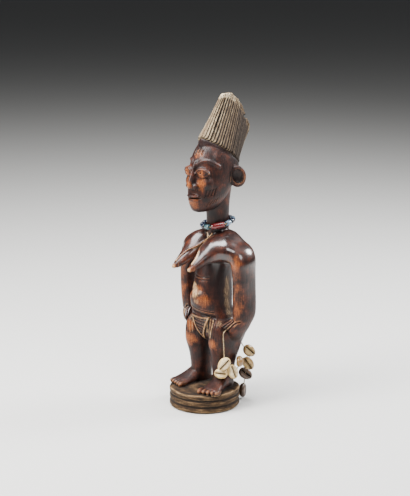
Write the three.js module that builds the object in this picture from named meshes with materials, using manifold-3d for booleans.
// Ibeji: a carved standing woman on a round base, with a bead necklace and a
// strand of cowries on the left wrist. Millimetres, +Z up. The figure faces -Y,
// its left hand is on the +X side, and the origin is under the base's centre.
import * as THREE from 'three';
import { mergeVertices } from 'three/addons/utils/BufferGeometryUtils.js';
import Module from 'manifold-3d';

const wasm = await Module();
wasm.setup();

// Driving dimensions
const FIGURE_HEIGHT = 262.5; // top of the base to the top of the crest
const BASE_RADIUS = 32;
const BASE_HEIGHT = 17.5;
const BASE_GROOVES = 2;
const BASE_GROOVE_DEPTH = 1.1;
const BASE_GROOVE_WIDTH = 2.2;
const BASE_LIP = 0.8;
const STRING_DIAMETER = 1;
const STRING_CLEARANCE = 0.3;
const BLUE_BEAD_DIAMETER = 5;
const BLUE_BEAD_LENGTH = 5.6;
const RED_BEAD_DIAMETER = 5.4;
const RED_BEAD_LENGTH = 12;
const BEAD_GAP = 0.3;
const NECKLACE_CLEARANCE = 0.9;
const COWRIE_LENGTH = 13.5;
const COWRIE_WIDTH = 10;
const COWRIE_DEPTH = 6.6;

// The pose and the carving are shares of the figure's own height. They are
// written in millimetres above the base of a figure that is DRAWN_HEIGHT tall.
const DRAWN_HEIGHT = 262.5;
const share = FIGURE_HEIGHT / DRAWN_HEIGHT;
const X_AXIS = new THREE.Vector3(1, 0, 0);
const Y_AXIS = new THREE.Vector3(0, 1, 0);
const Z_AXIS = new THREE.Vector3(0, 0, 1);

function place(x, y, z) {
  return new THREE.Vector3(x * share, y * share, BASE_HEIGHT + z * share);
}

// Solids and geometries
function signedVolume(geometry) {
  const at = geometry.attributes.position;
  const index = geometry.index.array;
  const a = new THREE.Vector3();
  const b = new THREE.Vector3();
  const c = new THREE.Vector3();
  let sum = 0;
  for (let i = 0; i < index.length; i += 3) {
    a.fromBufferAttribute(at, index[i]);
    b.fromBufferAttribute(at, index[i + 1]);
    c.fromBufferAttribute(at, index[i + 2]);
    sum += a.dot(b.cross(c)) / 6;
  }
  return sum;
}

function outward(geometry) {
  if (signedVolume(geometry) < 0) {
    geometry.index.array.reverse();
  }
  return geometry;
}

function solid(geometry) {
  const bare = geometry.clone();
  bare.deleteAttribute('normal');
  bare.deleteAttribute('uv');
  const merged = outward(mergeVertices(bare, 1e-4));
  return new wasm.Manifold(new wasm.Mesh({
    numProp: 3,
    vertProperties: merged.attributes.position.array,
    triVerts: Uint32Array.from(merged.index.array),
  }));
}

function geometryOf(manifold) {
  const mesh = manifold.getMesh();
  const geometry = new THREE.BufferGeometry();
  geometry.setAttribute('position', new THREE.BufferAttribute(mesh.vertProperties, 3));
  geometry.setIndex(new THREE.BufferAttribute(mesh.triVerts, 1));
  geometry.computeVertexNormals();
  return geometry;
}

function joined(solids) {
  return solids.reduce((sum, next) => sum.add(next));
}

// A closed skin over rings of points, with a fan over each end
function skin(rings) {
  const sides = rings[0].length;
  const points = rings.flat();
  const faces = [];
  for (let r = 0; r + 1 < rings.length; r++) {
    for (let s = 0; s < sides; s++) {
      const here = r * sides + s;
      const next = r * sides + (s + 1) % sides;
      faces.push(here, next, next + sides, here, next + sides, here + sides);
    }
  }
  const last = (rings.length - 1) * sides;
  for (let s = 1; s + 1 < sides; s++) {
    faces.push(0, s + 1, s, last, last + s, last + s + 1);
  }
  const geometry = new THREE.BufferGeometry().setFromPoints(points);
  geometry.setIndex(faces);
  return geometry;
}

function oval(angle, square) {
  const c = Math.cos(angle);
  const s = Math.sin(angle);
  return [Math.sign(c) * Math.abs(c) ** (2 / square), Math.sign(s) * Math.abs(s) ** (2 / square)];
}

// A limb: smooth rings through stations [x, y, z, half-width, half-depth]. The
// rings lie in the plane of the directions wide and deep.
function limb(stations, {
  sides = 12, rings = stations.length, wide = X_AXIS, deep = Y_AXIS, square = 2.1,
} = {}) {
  const places = stations.map(([x, y, z]) => place(x, y, z));
  const halves = stations.map(([, , , w, d]) => new THREE.Vector3(w * share, d * share, 0));
  const centres = new THREE.CatmullRomCurve3(places, false, 'catmullrom');
  const sizes = new THREE.CatmullRomCurve3(halves, false, 'catmullrom');
  const loops = [];
  for (let i = 0; i < rings; i++) {
    const centre = centres.getPoint(i / (rings - 1));
    const size = sizes.getPoint(i / (rings - 1));
    const loop = [];
    for (let s = 0; s < sides; s++) {
      const [u, v] = oval(2 * Math.PI * (s + 0.5) / sides, square);
      loop.push(centre.clone().addScaledVector(wide, u * size.x).addScaledVector(deep, v * size.y));
    }
    loops.push(loop);
  }
  return solid(skin(loops));
}

function egg(x, y, z, rx, ry, rz, { around = 10, down = 6, turn = [0, 0, 0] } = {}) {
  const geometry = new THREE.SphereGeometry(share, around, down);
  geometry.scale(rx, ry, rz);
  geometry.applyMatrix4(new THREE.Matrix4().makeRotationFromEuler(new THREE.Euler(...turn)));
  const at = place(x, y, z);
  geometry.translate(at.x, at.y, at.z);
  return solid(geometry);
}

const BASE_SIDES = 30;

// Base: a turned-looking drum with grooves cut round it and a thin lip on top
function carvedBase() {
  const profile = [new THREE.Vector2(0, 0), new THREE.Vector2(BASE_RADIUS - BASE_LIP, 0)];
  const band = BASE_HEIGHT / (BASE_GROOVES + 1);
  profile.push(new THREE.Vector2(BASE_RADIUS, BASE_LIP));
  for (let g = 1; g <= BASE_GROOVES; g++) {
    profile.push(new THREE.Vector2(BASE_RADIUS, band * g - BASE_GROOVE_WIDTH / 2));
    profile.push(new THREE.Vector2(BASE_RADIUS - BASE_GROOVE_DEPTH, band * g));
    profile.push(new THREE.Vector2(BASE_RADIUS, band * g + BASE_GROOVE_WIDTH / 2));
  }
  profile.push(new THREE.Vector2(BASE_RADIUS, BASE_HEIGHT - BASE_LIP));
  profile.push(new THREE.Vector2(BASE_RADIUS - BASE_LIP, BASE_HEIGHT), new THREE.Vector2(0, BASE_HEIGHT));
  const drum = new THREE.LatheGeometry(profile, BASE_SIDES);
  drum.rotateX(Math.PI / 2);
  return solid(drum);
}

// Legs: bent at the knee, from the ankle to the buttock. side is +1 for the
// figure's left.
const LEG_X = 15;
const HEEL_Y = 14;

function leg(side) {
  return limb([
    [side * (LEG_X - 1), 10, 1, 8, 10.4],
    [side * (LEG_X - 1), 9.8, 9, 8.2, 10.4],
    [side * (LEG_X - 1), 10, 17, 8.6, 11],
    [side * (LEG_X - 0.6), 10.4, 26, 9.4, 12.4],
    [side * LEG_X, 11, 33, 10.2, 14.8],
    [side * LEG_X, 11.8, 40, 10.9, 17.2],
    [side * LEG_X, 14, 48, 11.9, 20.3],
    [side * (LEG_X - 1), 14.4, 57, 11.6, 20],
    [side * (LEG_X - 4), 13, 66, 8, 14],
  ], { sides: 12, rings: 9 });
}

// Feet: each points along its own direction, with five toes across the front
const FOOT_LENGTH = 36;
const TOES = 5;
const TOE_SPACING = 4;

function foot(side, turnOut) {
  const ahead = new THREE.Vector3(side * Math.sin(turnOut), -Math.cos(turnOut), 0);
  const across = new THREE.Vector3(Math.cos(turnOut), side * Math.sin(turnOut), 0);
  const along = (s) => [side * LEG_X + ahead.x * s, HEEL_Y + ahead.y * s];
  const station = (s, height, wide, tall) => [...along(s), height, wide, tall];
  const sole = limb([
    station(-4, 4, 4.5, 4.5),
    station(0, 6.5, 6.8, 7),
    station(8, 7, 7.2, 7.5),
    station(16, 4.8, 7.8, 5.6),
    station(24, 3, 9, 3.8),
    station(FOOT_LENGTH - 5, 2, 9.8, 2.8),
  ], { sides: 10, wide: across, deep: Z_AXIS, square: 2.4 });
  const toes = [];
  for (let t = 0; t < TOES; t++) {
    const spread = side * (t - (TOES - 1) / 2) * TOE_SPACING;
    const size = t === 0 ? 1.2 : 1;
    const [x, y] = along(FOOT_LENGTH - 4 - t * 0.8);
    toes.push(egg(x + across.x * spread, y + across.y * spread, 2.1, 2.05 * size, 5, 2.1 * size,
      { around: 6, down: 3, turn: [0, 0, side * turnOut] }));
  }
  return joined([sole, ...toes]);
}

// Trunk: hips, belly, waist, chest and sloping shoulders
function trunk() {
  return limb([
    [0, 13, 40, 8, 8],
    [0, 13.5, 48, 19, 16],
    [0, 13.5, 58, 22, 19.5],
    [0, 12, 66, 19.5, 18],
    [0, 9, 72, 17, 18.5],
    [0, 8.8, 80, 16, 19.5],
    [0, 10, 90, 14.5, 19],
    [0, 11.5, 102, 14, 17.5],
    [0, 14, 114, 16.5, 16.5],
    [0, 16.5, 123, 22, 16.5],
    [0, 18, 131, 26.5, 15],
    [0, 18, 137.5, 20, 12],
    [0, 17, 141.5, 12, 10],
  ], { sides: 18, rings: 12, square: 2.35 });
}

// Arms: deep blades bowed out from the trunk, with the hands on the thighs
const FINGERS = 4;

function arm(side) {
  return limb([
    [side * 15, 18, 133, 8, 11],
    [side * 25, 18, 128.5, 9, 12.5],
    [side * 31, 17, 119, 8.4, 12.6],
    [side * 33, 16.4, 106, 7.2, 12.6],
    [side * 33.4, 16.4, 92, 7, 12.6],
    [side * 33.2, 17, 79, 7.2, 12.6],
    [side * 32.6, 17.4, 68, 7.2, 12],
    [side * 30.6, 15.6, 60, 6.4, 11],
    [side * 28.2, 14.6, 53.5, 5.4, 10.6],
    [side * 25, 16, 45, 3.6, 8],
  ], { sides: 12, rings: 10, square: 2.6 });
}

function hand(side) {
  const fingers = [];
  for (let f = 0; f < FINGERS; f++) {
    fingers.push(limb([
      [side * (30.5 + 1.4 * f), 10.5 + 0.3 * f, 67 - 0.8 * f, 2.2, 3],
      [side * (27 + 1.8 * f), 3.9 + 0.9 * f, 63.4 - 0.9 * f, 2.5, 2.7],
      [side * (22.4 + 1.8 * f), -2 + 2 * f, 58.8 - 1.6 * f, 1.8, 2],
    ], { sides: 6 }));
  }
  return joined(fingers);
}

// Breasts: long cones that end in a stub
function breast(side) {
  const cone = limb([
    [side * 12, 12, 130, 13, 11],
    [side * 11, 1, 127.5, 11.5, 10.6],
    [side * 9.8, -12, 121.5, 7.4, 6.8],
    [side * 10, -20.5, 116.6, 4.6, 4.6],
    [side * 10, -26, 114.2, 3.1, 3.1],
  ], { sides: 12, wide: X_AXIS, deep: Z_AXIS });
  const stub = limb([
    [side * 10, -24, 114.5, 2.5, 2.5],
    [side * 10, -30, 113, 2.3, 2.3],
  ], { sides: 8, wide: X_AXIS, deep: Z_AXIS });
  return cone.add(stub);
}

// Apron: a hanging triangle with a raised border and slanting cuts inside it
const APRON_HALF_WIDTH = 11;
const APRON_DROP = 24;
const APRON_TOP = [0, -7.6, 65];
const APRON_SLANT = 0.25;
const APRON_BORDER = 1.7;
const APRON_RELIEF = 0.9;
const APRON_CUTS = 5;

function slab(outline, proud, thick) {
  const geometry = new THREE.ExtrudeGeometry(outline, { depth: thick, bevelEnabled: false });
  geometry.rotateX(Math.PI / 2);
  geometry.translate(0, thick - proud, 0);
  geometry.rotateX(APRON_SLANT);
  geometry.scale(share, share, share);
  const at = place(...APRON_TOP);
  geometry.translate(at.x, at.y, at.z);
  return solid(geometry);
}

function apronEdge(level) {
  return APRON_HALF_WIDTH * (1 + level / APRON_DROP);
}

function outline(...points) {
  return new THREE.Shape(points.map(([x, y]) => new THREE.Vector2(x, y)));
}

function apron() {
  const tip = -APRON_DROP;
  const inTop = -APRON_BORDER;
  const inSide = APRON_BORDER * 1.35;
  const inTip = tip + APRON_BORDER * 3;
  const panel = slab(outline([-APRON_HALF_WIDTH, 0], [APRON_HALF_WIDTH, 0], [0, tip]), 0, 16);
  const inEdge = apronEdge(inTop) - inSide;
  const field = slab(outline([-inEdge, inTop], [inEdge, inTop], [0, inTip]), 1, 1 + APRON_RELIEF);
  const ribs = [];
  const pitch = (inTop - inTip) / (APRON_CUTS + 1);
  for (let c = 1; c <= APRON_CUTS; c++) {
    const level = inTop - pitch * c + pitch * 0.3;
    const reach = apronEdge(level);
    ribs.push(slab(outline(
      [-reach, level - 0.5], [reach, level + 0.3], [reach, level + 1], [-reach, level + 0.2]), -0.25, 3));
  }
  const inside = slab(outline([-APRON_HALF_WIDTH, 0], [APRON_HALF_WIDTH, 0], [0, tip]), 0.5, 16);
  return panel.subtract(field).add(joined(ribs).intersect(inside));
}

// Neck and head
const NECK_Y = 16.3;
const NECK_HALF_WIDTH = 10.2;

function neck() {
  return limb([
    [0, NECK_Y, 132, NECK_HALF_WIDTH, NECK_HALF_WIDTH],
    [0, NECK_Y, 156, NECK_HALF_WIDTH, NECK_HALF_WIDTH],
    [0, NECK_Y - 1, 170, NECK_HALF_WIDTH + 1.5, NECK_HALF_WIDTH + 1.5],
    [0, NECK_Y - 3, 184, NECK_HALF_WIDTH + 4, NECK_HALF_WIDTH + 6],
  ], { sides: 14, square: 2 });
}

function skull() {
  return limb([
    [0, -3, 160.5, 4.5, 7],
    [0, -1, 164, 9.5, 12.5],
    [0, 3, 172, 14, 18],
    [0, 6.5, 181, 16.5, 21],
    [0, 9.5, 190, 17.8, 23],
    [0, 12, 199, 18, 24],
    [0, 13.5, 207, 17.4, 23.5],
    [0, 14.5, 215, 15.2, 20.5],
    [0, 15, 222, 11, 15],
    [0, 15.5, 227, 5, 7],
  ], { sides: 16, rings: 9, square: 2.2 });
}

// Face, in thirds: chin to nose, nose to brow, brow to hairline
const CHIN = 160.5;
const HAIRLINE = 226.5;
const FACE_THIRD = (HAIRLINE - CHIN) / 3;
const BROW = CHIN + 2 * FACE_THIRD;
const NOSE_BASE = CHIN + FACE_THIRD;
const MOUTH = CHIN + FACE_THIRD * 0.62;
const EYE_LEVEL = BROW - FACE_THIRD * 0.36;
const EYE_X = 8.6;

function eye(side) {
  const turn = [0, 0, side * 0.42];
  const rim = egg(side * EYE_X, -10.4, EYE_LEVEL, 7.2, 3.4, 5.4, { around: 10, down: 4, turn });
  const socket = egg(side * (EYE_X + 0.3), -14.2, EYE_LEVEL, 6, 3.2, 4.2, { around: 8, down: 5, turn });
  const ball = egg(side * EYE_X, -10.6, EYE_LEVEL, 5.4, 3.2, 3.4, { around: 8, down: 5, turn });
  return rim.subtract(socket).add(ball);
}

function nose() {
  const bridge = limb([
    [0, -9, BROW + 2, 1.8, 4],
    [0, -11.5, BROW - FACE_THIRD * 0.35, 2, 5],
    [0, -13, NOSE_BASE + FACE_THIRD * 0.28, 3.6, 7],
    [0, -12.5, NOSE_BASE + 1, 4.6, 7.4],
    [0, -10.5, NOSE_BASE - 0.6, 3.6, 5],
  ], { sides: 8 });
  const wing = (side) => egg(side * 4.4, -14.5, NOSE_BASE + 2.2, 2.6, 3.4, 2.6, { around: 6, down: 4 });
  return joined([bridge, wing(1), wing(-1)]);
}

function lips() {
  const upper = egg(0, -12, MOUTH + 1.7, 7.6, 6.4, 2.1, { around: 8, down: 4 });
  const lower = egg(0, -11.4, MOUTH - 1.7, 6.8, 6, 2.1, { around: 8, down: 4 });
  return upper.add(lower);
}

// Ears: hollowed flaps set far back on the head
const EAR_Y = 22;
const EAR_Z = 191;

function ear(side) {
  const turn = [0.2, 0, -side * 0.75];
  const flap = egg(side * 18.5, EAR_Y, EAR_Z, 3.6, 8, 10.2, { around: 8, down: 5, turn });
  const bowl = egg(side * 21.6, EAR_Y - 1.6, EAR_Z + 0.6, 3.2, 5.4, 7.2, { around: 8, down: 4, turn });
  return flap.subtract(bowl);
}

// Crest of hair: a blade that leans back, fluted from the hairline to the ridge.
// It is drawn in two directions of its own: back, and rise, along the flutes.
const CREST_LEAN = THREE.MathUtils.degToRad(35);
const CREST_FRONT = [-5, HAIRLINE];
const CREST_LENGTH = 51.5;
const CREST_HALF_WIDTH = 18;
const RIDGE_HALF_WIDTH = 3.2;
const FRONT_HALF_WIDTH = 1.6;
const FLUTES = 13;
const FLUTE_DEPTH = 1;
const ROOT_RISE = -14;
const ROOT_SHARE = 0.68;
const RIDGE = new THREE.SplineCurve([
  new THREE.Vector2(0, 44.5),
  new THREE.Vector2(0.12, 50),
  new THREE.Vector2(0.37, 50.5),
  new THREE.Vector2(0.6, 47),
  new THREE.Vector2(0.77, 42),
  new THREE.Vector2(0.87, 42.2),
  new THREE.Vector2(1, 37),
]);

function crestPoint(x, back, rise) {
  const c = Math.cos(CREST_LEAN);
  const s = Math.sin(CREST_LEAN);
  return place(x, CREST_FRONT[0] + back * c + rise * s, CREST_FRONT[1] - back * s + rise * c);
}

// One ring of the blade: climb is 0 at the hairline and 1 at the ridge
function crestRing(climb, { size = 1, fluted = true, rise = null } = {}) {
  const taper = THREE.MathUtils.lerp(CREST_HALF_WIDTH, RIDGE_HALF_WIDTH, climb ** 1.05);
  const length = CREST_LENGTH * (1 - 0.04 * climb);
  const near = [];
  const far = [];
  for (let i = 0; i <= FLUTES * 2; i++) {
    const part = i / (FLUTES * 2);
    const lens = (1 - Math.abs(2 * part - 1) ** 2.1) ** 0.8;
    const groove = fluted && i % 2 === 1 ? FLUTE_DEPTH * Math.min(1, lens * 1.5) : 0;
    const x = Math.max(FRONT_HALF_WIDTH, taper * lens - groove) * size;
    const back = length * (0.5 + (part - 0.5) * size);
    const top = rise ?? RIDGE.getPoint(part).y * climb;
    near.push(crestPoint(x, back, top));
    far.push(crestPoint(-x, back, top));
  }
  return [...near, ...far.reverse()];
}

// A skin like the one over a limb, whose ends are closed from side to side
function bladeSkin(rings) {
  const geometry = skin(rings);
  const sides = rings[0].length;
  const last = (rings.length - 1) * sides;
  const walls = (rings.length - 1) * sides * 6;
  const faces = Array.from(geometry.index.array).slice(0, walls);
  for (let s = 0; s + 1 < sides / 2; s++) {
    const over = sides - 1 - s;
    faces.push(s, over, s + 1, s + 1, over, over - 1);
    faces.push(last + s, last + s + 1, last + over, last + s + 1, last + over - 1, last + over);
  }
  geometry.setIndex(faces);
  return geometry;
}

function crest() {
  return solid(bladeSkin([
    crestRing(0, { size: ROOT_SHARE, fluted: false, rise: ROOT_RISE }),
    crestRing(0, { size: 0.97 }),
    ...[0.35, 0.7, 0.96].map((climb) => crestRing(climb)),
    crestRing(1, { size: 0.9, fluted: false }),
  ]));
}

// The chip that is broken out of the ridge near its back end
function chip() {
  const at = crestPoint(0, CREST_LENGTH * 0.72, 43);
  const bite = new THREE.BoxGeometry(9 * share, 5 * share, 3.4 * share);
  bite.rotateX(0.5);
  bite.translate(at.x, at.y, at.z);
  return solid(bite);
}

function figureSolid() {
  const body = joined([
    carvedBase(),
    ...[-1, 1].flatMap((side) => [leg(side), arm(side), hand(side), breast(side)]),
    foot(1, 0.24),
    foot(-1, 0.08),
    trunk(),
    apron(),
    neck(),
  ]);
  const head = joined([skull(), nose(), lips(), eye(1), eye(-1), ear(1), ear(-1)]);
  return body.add(head).add(crest().subtract(chip()));
}

// Necklace: a tilted ring of beads round the foot of the neck
const NECKLACE_Z = 148;
const NECKLACE_TILT = 0.16;
const NECKLACE_ROLL = -0.12;
const RED_BEAD_TURN = THREE.MathUtils.degToRad(-44);
const innerRadius = NECK_HALF_WIDTH * share / Math.cos(NECKLACE_TILT) + NECKLACE_CLEARANCE;
const redApothem = innerRadius + RED_BEAD_DIAMETER / 2;
const bend = BLUE_BEAD_DIAMETER * 0.36 * (BLUE_BEAD_LENGTH / innerRadius);
const redHalfAngle = Math.atan((RED_BEAD_LENGTH + BEAD_GAP + 2 * bend) / 2 / redApothem);
const blueChord = BLUE_BEAD_LENGTH + BEAD_GAP + bend;
const blueRadius = Math.hypot(innerRadius + BLUE_BEAD_DIAMETER / 2, blueChord / 2);
const blueAngle = 2 * Math.asin(blueChord / 2 / blueRadius);
const BLUE_BEADS = Math.floor((2 * Math.PI - 2 * redHalfAngle) / blueAngle);

function necklacePoint(angle, radius) {
  const ring = new THREE.Vector3(Math.cos(angle) * radius, Math.sin(angle) * radius, 0);
  ring.applyAxisAngle(X_AXIS, NECKLACE_TILT).applyAxisAngle(Y_AXIS, NECKLACE_ROLL);
  return ring.add(place(0, NECK_Y, NECKLACE_Z));
}

// The corners of the string: a straight for the red bead, then one per blue bead
function necklaceCorners() {
  const redRadius = redApothem / Math.cos(redHalfAngle);
  const corners = [
    necklacePoint(RED_BEAD_TURN - redHalfAngle, redRadius),
    necklacePoint(RED_BEAD_TURN + redHalfAngle, redRadius),
  ];
  const step = (2 * Math.PI - 2 * redHalfAngle) / BLUE_BEADS;
  for (let b = 1; b < BLUE_BEADS; b++) {
    corners.push(necklacePoint(RED_BEAD_TURN + redHalfAngle + step * b, blueRadius));
  }
  return corners;
}

const BEAD_SIDES = 7;

function bead(length, diameter) {
  const bore = STRING_DIAMETER / 2 + STRING_CLEARANCE;
  const half = length / 2;
  const profile = [
    new THREE.Vector2(bore, -half),
    new THREE.Vector2(diameter * 0.36, -half),
    new THREE.Vector2(diameter / 2, 0),
    new THREE.Vector2(diameter * 0.36, half),
    new THREE.Vector2(bore, half),
    new THREE.Vector2(bore, -half),
  ];
  return geometryOf(solid(new THREE.LatheGeometry(profile, BEAD_SIDES)));
}

// Round strings: open along a path, or closed through the necklace's corners
const STRING_SIDES = 8;
const SLEEVE_SIDES = 6;

function roundSection(radius, sides) {
  const points = [];
  for (let s = 0; s < sides; s++) {
    const angle = 2 * Math.PI * s / sides;
    points.push(new THREE.Vector2(Math.cos(angle) * radius, Math.sin(angle) * radius));
  }
  return new THREE.Shape(points);
}

function stringAlong(path, radius, steps, sides = STRING_SIDES) {
  const section = roundSection(radius, sides);
  return solid(new THREE.ExtrudeGeometry(section, { steps, bevelEnabled: false, extrudePath: path }));
}

function closedString(corners, radius) {
  const rings = corners.map((corner, i) => {
    const before = corners[(i + corners.length - 1) % corners.length];
    const after = corners[(i + 1) % corners.length];
    const ahead = after.clone().sub(before).normalize();
    const out = corner.clone().sub(place(0, NECK_Y, NECKLACE_Z)).projectOnPlane(ahead).normalize();
    const up = ahead.clone().cross(out);
    const ring = [];
    for (let s = 0; s < STRING_SIDES; s++) {
      const angle = 2 * Math.PI * s / STRING_SIDES;
      const outer = corner.clone().addScaledVector(out, Math.cos(angle) * radius);
      ring.push(outer.addScaledVector(up, Math.sin(angle) * radius));
    }
    return ring;
  });
  const geometry = skin([...rings, rings[0]]);
  const walls = corners.length * STRING_SIDES * 6;
  geometry.setIndex(Array.from(geometry.index.array).slice(0, walls));
  return solid(geometry);
}

// Cowries: an egg with a flat mouth side and a slit, threaded on the string
function cowrieShell() {
  const egged = new THREE.SphereGeometry(0.5, 8, 5);
  egged.rotateX(Math.PI / 2);
  egged.scale(COWRIE_WIDTH, COWRIE_DEPTH * 1.3, COWRIE_LENGTH);
  egged.rotateZ(Math.PI / 8);
  const mouthCut = new THREE.BoxGeometry(2 * COWRIE_WIDTH, COWRIE_DEPTH, 2 * COWRIE_LENGTH);
  mouthCut.translate(0, -COWRIE_DEPTH * 0.85, 0);
  const slitRadius = COWRIE_WIDTH * 0.09;
  const slit = new THREE.CylinderGeometry(slitRadius, slitRadius, COWRIE_LENGTH * 0.84, 4);
  slit.rotateX(Math.PI / 2);
  slit.translate(COWRIE_WIDTH * 0.05, -COWRIE_DEPTH * 0.36, 0);
  return solid(egged).subtract(solid(mouthCut)).subtract(solid(slit));
}

// The strand hangs as a loop from the front of the left hand, round the outside
// of the leg and up to the back of the arm, and a short tail is tied to it
// behind. Points and cowries are where they lie, in millimetres above the ground.
const STRAND = [
  [25.8, -1.8, 69.4], [26.2, -1.8, 61], [26.9, -1.8, 52], [27.4, -1.6, 44], [27.5, -1.4, 38.6],
  [27.6, 0.2, 34.4], [28.4, 3.6, 32.6], [29.2, 8, 33], [28.6, 13, 36.2], [27.4, 18.4, 39.2],
  [27.2, 23.2, 38], [28.4, 27, 38.8], [28.2, 28.8, 42.8], [25.6, 30.8, 46.8], [21.2, 32, 49],
  [16, 32.6, 51.4], [12, 33.8, 56], [10.6, 36, 62], [12, 37, 68], [16.6, 36, 75],
  [21.2, 33.4, 80.4], [25, 30.2, 84.6],
];
const TAIL = [
  [21.4, 32.8, 46.6], [21.4, 33, 41], [21, 32.8, 35.4], [20.6, 32.6, 30], [20, 32.4, 24.6],
  [18.8, 32.6, 18.6], [17.4, 33, 13], [16.6, 33, 8.4], [16.2, 33, 3],
];

// Each cowrie: its centre, then the way its mouth faces, its lean and its roll
const STRAND_COWRIES = [
  [27.4, -2.4, 43.4, 50, 5, 40],
  [22.8, -1.8, 33.8, 10, 25, 80],
  [29.6, 6.4, 34.8, 70, 10, -20],
  [27.6, 16.2, 42.2, -44, 0, 80],
  [28, 27.6, 37.6, 40, -10, -35],
  [26.2, 31, 48.4, 75, 10, -50],
];
const TAIL_COWRIES = [
  [20, 32.6, 25, 50, 15, -55],
  [16.6, 33.2, 8, 120, 0, 5],
];

function hangingString(points) {
  const places = points.map((point) => new THREE.Vector3(...point));
  return new THREE.CatmullRomCurve3(places, false, 'centripetal');
}

function placedCowrie([x, y, z, facing, lean, roll], sleeve) {
  const turn = new THREE.Matrix4().makeRotationZ(THREE.MathUtils.degToRad(facing));
  turn.multiply(new THREE.Matrix4().makeRotationX(THREE.MathUtils.degToRad(-lean)));
  turn.multiply(new THREE.Matrix4().makeRotationY(THREE.MathUtils.degToRad(roll)));
  turn.setPosition(x, y, z);
  return cowrieShell().transform(turn.toArray()).subtract(sleeve);
}

// Materials
const wood = new THREE.MeshStandardMaterial({ color: 0x4a2213, roughness: 0.35 });
const redGlass = new THREE.MeshStandardMaterial({ color: 0x7a1a22, roughness: 0.2 });
const blueGlass = new THREE.MeshStandardMaterial({ color: 0x4f7f96, roughness: 0.25 });
const cotton = new THREE.MeshStandardMaterial({ color: 0x8d7a58, roughness: 0.9 });
const shell = new THREE.MeshStandardMaterial({ color: 0xd9cba2, roughness: 0.3 });

const ibeji = new THREE.Group();

function addPiece(name, geometry, material) {
  const mesh = new THREE.Mesh(geometry, material);
  mesh.name = name;
  ibeji.add(mesh);
  return mesh;
}

addPiece('figure', geometryOf(figureSolid()), wood);

const corners = necklaceCorners();
addPiece('necklace_string', geometryOf(closedString(corners, STRING_DIAMETER / 2)), cotton);
corners.forEach((corner, i) => {
  const next = corners[(i + 1) % corners.length];
  const mesh = i === 0
    ? addPiece('red_bead', bead(RED_BEAD_LENGTH, RED_BEAD_DIAMETER), redGlass)
    : addPiece(`blue_bead_${i}`, bead(BLUE_BEAD_LENGTH, BLUE_BEAD_DIAMETER), blueGlass);
  mesh.position.lerpVectors(corner, next, 0.5);
  mesh.quaternion.setFromUnitVectors(Y_AXIS, next.clone().sub(corner).normalize());
});

const STRING_STEP = 3;
const sleeveRadius = (STRING_DIAMETER / 2 + STRING_CLEARANCE) / Math.cos(Math.PI / SLEEVE_SIDES);
let cowrieNumber = 0;
for (const [name, points, cowries] of [
  ['strand_string', STRAND, STRAND_COWRIES],
  ['tail_string', TAIL, TAIL_COWRIES],
]) {
  const path = hangingString(points);
  const steps = Math.round(path.getLength() / STRING_STEP);
  addPiece(name, geometryOf(stringAlong(path, STRING_DIAMETER / 2, steps)), cotton);
  const sleeve = stringAlong(path, sleeveRadius, steps, SLEEVE_SIDES);
  for (const cowrie of cowries) {
    cowrieNumber += 1;
    addPiece(`cowrie_${cowrieNumber}`, geometryOf(placedCowrie(cowrie, sleeve)), shell);
  }
}

export default ibeji;
